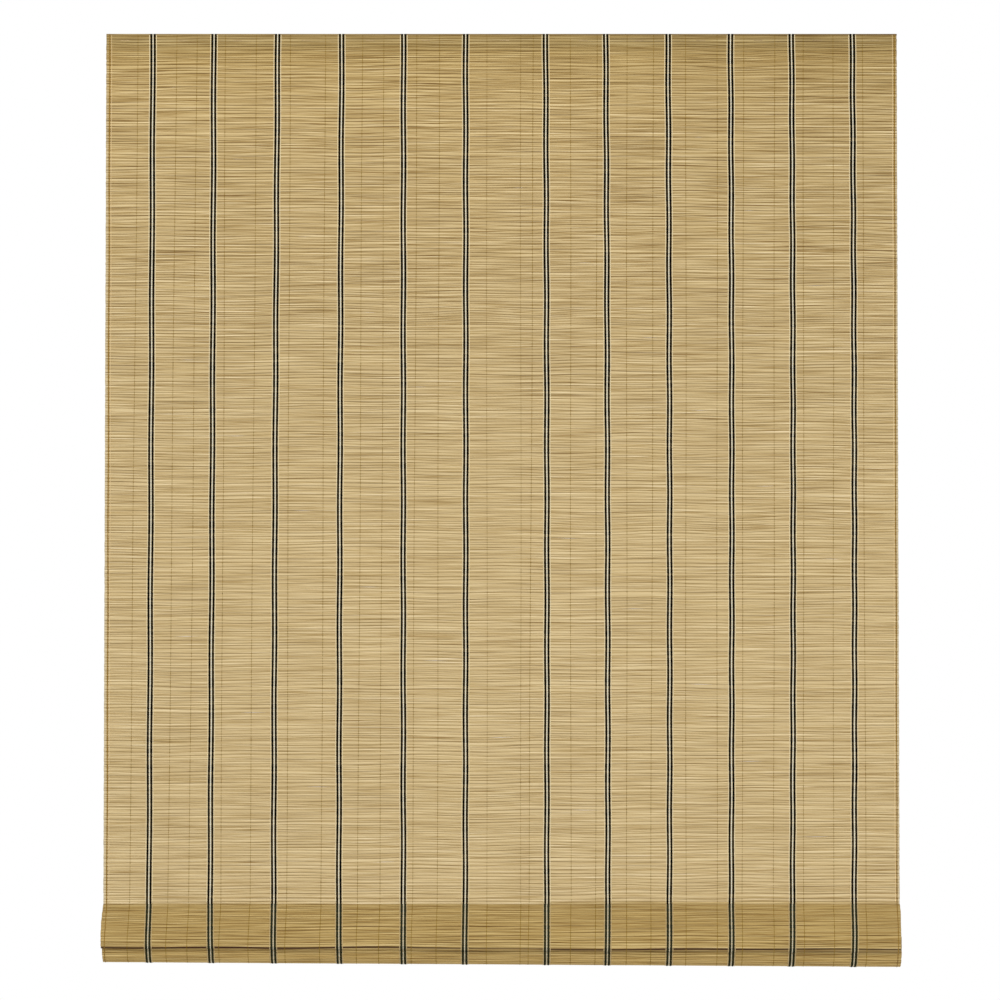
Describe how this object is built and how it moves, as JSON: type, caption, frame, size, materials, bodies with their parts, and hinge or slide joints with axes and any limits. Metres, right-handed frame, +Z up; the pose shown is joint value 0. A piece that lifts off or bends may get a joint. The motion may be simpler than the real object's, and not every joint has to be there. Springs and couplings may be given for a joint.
{
  "type": "rattan roll-up blind",
  "caption": "Flat woven reed blind with dark and white striped warp cords, rolled up at its foot round a wooden pole and hung from a batten on wall brackets.",
  "frame": {"origin": "centre of the four wall screw holes, on the wall's face", "axes": "+X right as seen from the room, +Y towards the wall, +Z up"},
  "size_m": [0.9, 0.0657, 1.0577],
  "materials": {
    "reed": "matt natural reed",
    "batten_wood": "planed softwood",
    "pole_wood": "turned softwood",
    "dark_cord": "twined cotton",
    "pale_cord": "twined cotton",
    "brown_thread": "thin cotton thread",
    "bracket_steel": "cream paint",
    "screw_steel": "zinc plated",
    "staple_steel": "bright wire",
    "guide_plastic": "moulded",
    "sheave_plastic": "moulded",
    "pin_brass": "turned"
  },
  "bodies": {
    "head": {"head_batten": "batten_wood", "wall_bracket_left": "bracket_steel", "wall_bracket_right": "bracket_steel", "bracket_screws": "screw_steel", "mat_staples": "staple_steel", "pulley_housing": "guide_plastic", "pulley_pin": "pin_brass", "lock_housing": "guide_plastic", "lock_pin": "pin_brass", "guide_screws": "screw_steel", "reed_mat": "reed", "warp_dark_01": "dark_cord", "warp_dark_02": "dark_cord", "warp_dark_03": "dark_cord", "warp_dark_04": "dark_cord", "warp_dark_05": "dark_cord", "warp_dark_06": "dark_cord", "warp_dark_07": "dark_cord", "warp_dark_08": "dark_cord", "warp_dark_09": "dark_cord", "warp_dark_10": "dark_cord", "warp_dark_11": "dark_cord", "warp_dark_12": "dark_cord", "warp_pale_01": "pale_cord", "warp_pale_02": "pale_cord", "warp_pale_03": "pale_cord", "warp_pale_04": "pale_cord", "warp_pale_05": "pale_cord", "warp_pale_06": "pale_cord", "warp_pale_07": "pale_cord", "warp_pale_08": "pale_cord", "warp_pale_09": "pale_cord", "warp_pale_10": "pale_cord", "warp_pale_11": "pale_cord", "warp_pale_12": "pale_cord", "fine_warps": "brown_thread", "edge_thread_left": "brown_thread", "edge_thread_right": "brown_thread"},
    "left_sheave": {"pulley_sheave": "sheave_plastic"},
    "right_sheave": {"lock_sheave": "sheave_plastic"},
    "lock_roller": {"lock_roller": "pin_brass"},
    "hem": {"mat_lap": "reed", "lap_dark_warps": "dark_cord", "lap_pale_warps": "pale_cord"},
    "roll": {"rolled_mat": "reed", "bottom_pole": "pole_wood"}
  },
  "joints": [
    {"name": "left_sheave_spin", "type": "hinge", "parent": "head", "child": "left_sheave", "pos_m": [-0.29, -0.0256, 0.0055], "axis": [0, 1, 0], "continuous": true},
    {"name": "right_sheave_spin", "type": "hinge", "parent": "head", "child": "right_sheave", "pos_m": [0.3, -0.0256, 0.0055], "axis": [0, 1, 0], "continuous": true},
    {"name": "lock_roller_slide", "type": "slide", "parent": "head", "child": "lock_roller", "axis": [0.766, 0, 0.6428], "range_m": [0, 0.004]},
    {"name": "roll_rise", "type": "slide", "parent": "head", "child": "hem", "axis": [0, 0, 1], "range_m": [0, 0.87], "deforming": ["reed_mat", "warp_dark_01", "warp_dark_02", "warp_dark_03", "warp_dark_04", "warp_dark_05", "warp_dark_06", "warp_dark_07", "warp_dark_08", "warp_dark_09", "warp_dark_10", "warp_dark_11", "warp_dark_12", "warp_pale_01", "warp_pale_02", "warp_pale_03", "warp_pale_04", "warp_pale_05", "warp_pale_06", "warp_pale_07", "warp_pale_08", "warp_pale_09", "warp_pale_10", "warp_pale_11", "warp_pale_12", "fine_warps", "edge_thread_left", "edge_thread_right"]},
    {"name": "roll_spin", "type": "hinge", "parent": "hem", "child": "roll", "pos_m": [0, -0.036, -0.9905], "axis": [1, 0, 0], "range_deg": [0, 1800]}
  ],
  "couplings": [
    {"joint": "roll_spin", "follows": "roll_rise", "rad_per_m": 36.11}
  ]
}
